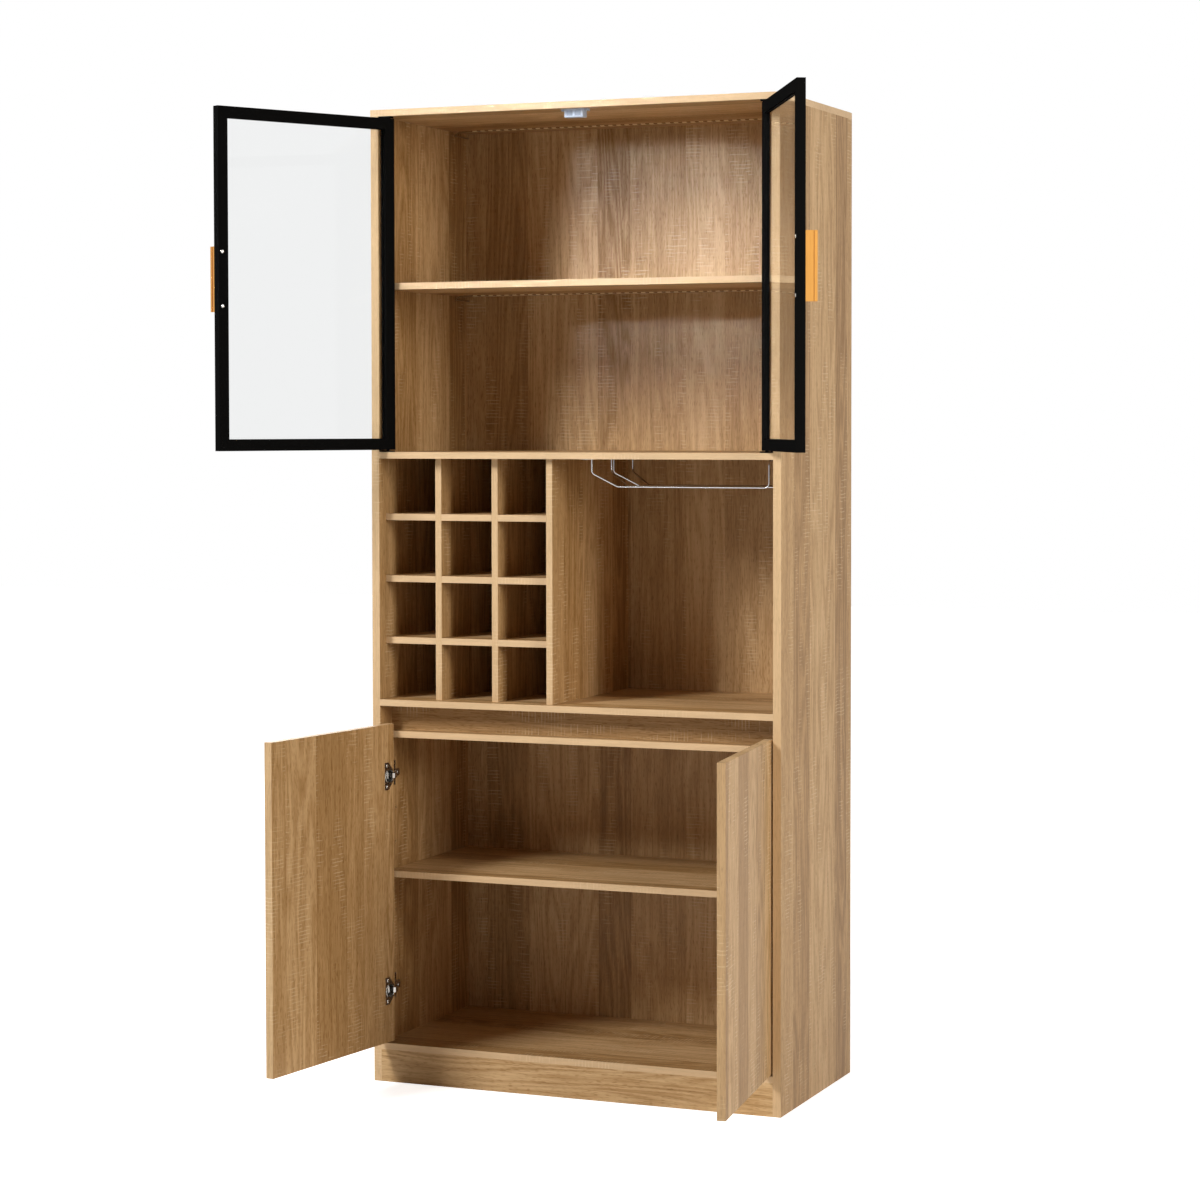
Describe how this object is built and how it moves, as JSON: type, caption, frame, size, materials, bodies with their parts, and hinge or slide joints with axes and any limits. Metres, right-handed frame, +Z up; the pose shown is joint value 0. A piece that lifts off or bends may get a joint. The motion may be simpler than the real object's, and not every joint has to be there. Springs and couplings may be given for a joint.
{
  "type": "display cabinet",
  "caption": "Tall oak-pattern bar cabinet with framed glass doors over a lit display space, a bottle rack beside a stemware bay, and a cupboard with plain doors below.",
  "frame": {"origin": "on the floor, at the middle of the carcass's width, in the plane of its front edges", "axes": "+X to the right as seen from the front, +Y to the back, +Z up"},
  "size_m": [1.1322, 0.7627, 1.8],
  "materials": {
    "oak_board": "matt rough-sawn oak-pattern foil on board",
    "oak_back": "matt oak-pattern foil on thin board",
    "beech_tenon": "bare",
    "black_steel": "satin black powder coat",
    "clear_glass": "clear float glass",
    "black_rubber": "matt",
    "bronze_aluminium": "brushed bronze anodised",
    "nickel_steel": "nickel plated",
    "chrome_wire": "bright chrome",
    "white_plastic": "white moulded plastic",
    "magnet_steel": "zinc plated",
    "led_tape": "white flexible tape",
    "lead_sheath": "white cable sheath"
  },
  "bodies": {
    "carcass": {"bar_panel": "oak_board", "bottom_panel": "oak_board", "catch_body": "white_plastic", "catch_magnets": "magnet_steel", "finger_rail": "oak_board", "front_plinth": "oak_board", "hinge_arms": "nickel_steel", "hinge_plates": "nickel_steel", "led_leads": "lead_sheath", "led_strip_lower": "led_tape", "led_strip_upper": "led_tape", "left_side_panel": "oak_board", "lower_back_panel": "oak_back", "lower_shelf": "oak_board", "middle_panel": "oak_board", "pivot_plates": "black_steel", "rack_divider_1": "oak_board", "rack_divider_2": "oak_board", "rack_partition": "oak_board", "rack_shelf_1": "oak_board", "rack_shelf_2": "oak_board", "rack_shelf_3": "oak_board", "rear_plinth": "oak_board", "right_side_panel": "oak_board", "shelf_pins": "nickel_steel", "stemware_loop_front": "chrome_wire", "stemware_loop_rear": "chrome_wire", "stemware_tabs": "chrome_wire", "stop_rail": "oak_board", "tenons": "beech_tenon", "top_panel": "oak_board", "upper_back_panel": "oak_back", "upper_shelf": "oak_board"},
    "left_glass_door": {"left_glass_frame": "black_steel", "left_glass_gasket": "black_rubber", "left_glass_pane": "clear_glass", "left_handle": "bronze_aluminium"},
    "right_glass_door": {"right_glass_frame": "black_steel", "right_glass_gasket": "black_rubber", "right_glass_pane": "clear_glass", "right_handle": "bronze_aluminium"},
    "left_lower_door": {"left_hinge_cups": "nickel_steel", "left_hinge_pins": "nickel_steel", "left_lower_door": "oak_board"},
    "right_lower_door": {"right_hinge_cups": "nickel_steel", "right_hinge_pins": "nickel_steel", "right_lower_door": "oak_board"}
  },
  "joints": [
    {"name": "left_glass_hinge", "type": "hinge", "parent": "carcass", "child": "left_glass_door", "pos_m": [-0.3705, 0.0085, 1.4795], "axis": [0, 0, -1], "range_deg": [-118, 2]},
    {"name": "right_glass_hinge", "type": "hinge", "parent": "carcass", "child": "right_glass_door", "pos_m": [0.3705, 0.0085, 1.4795], "axis": [0, 0, 1], "range_deg": [-118, 2]},
    {"name": "left_lower_hinge", "type": "hinge", "parent": "carcass", "child": "left_lower_door", "pos_m": [-0.374, 0.0077, 0.371], "axis": [0, 0, -1], "range_deg": [-97.5, 2.5]},
    {"name": "right_lower_hinge", "type": "hinge", "parent": "carcass", "child": "right_lower_door", "pos_m": [0.374, 0.0077, 0.371], "axis": [0, 0, 1], "range_deg": [-97.5, 2.5]}
  ]
}
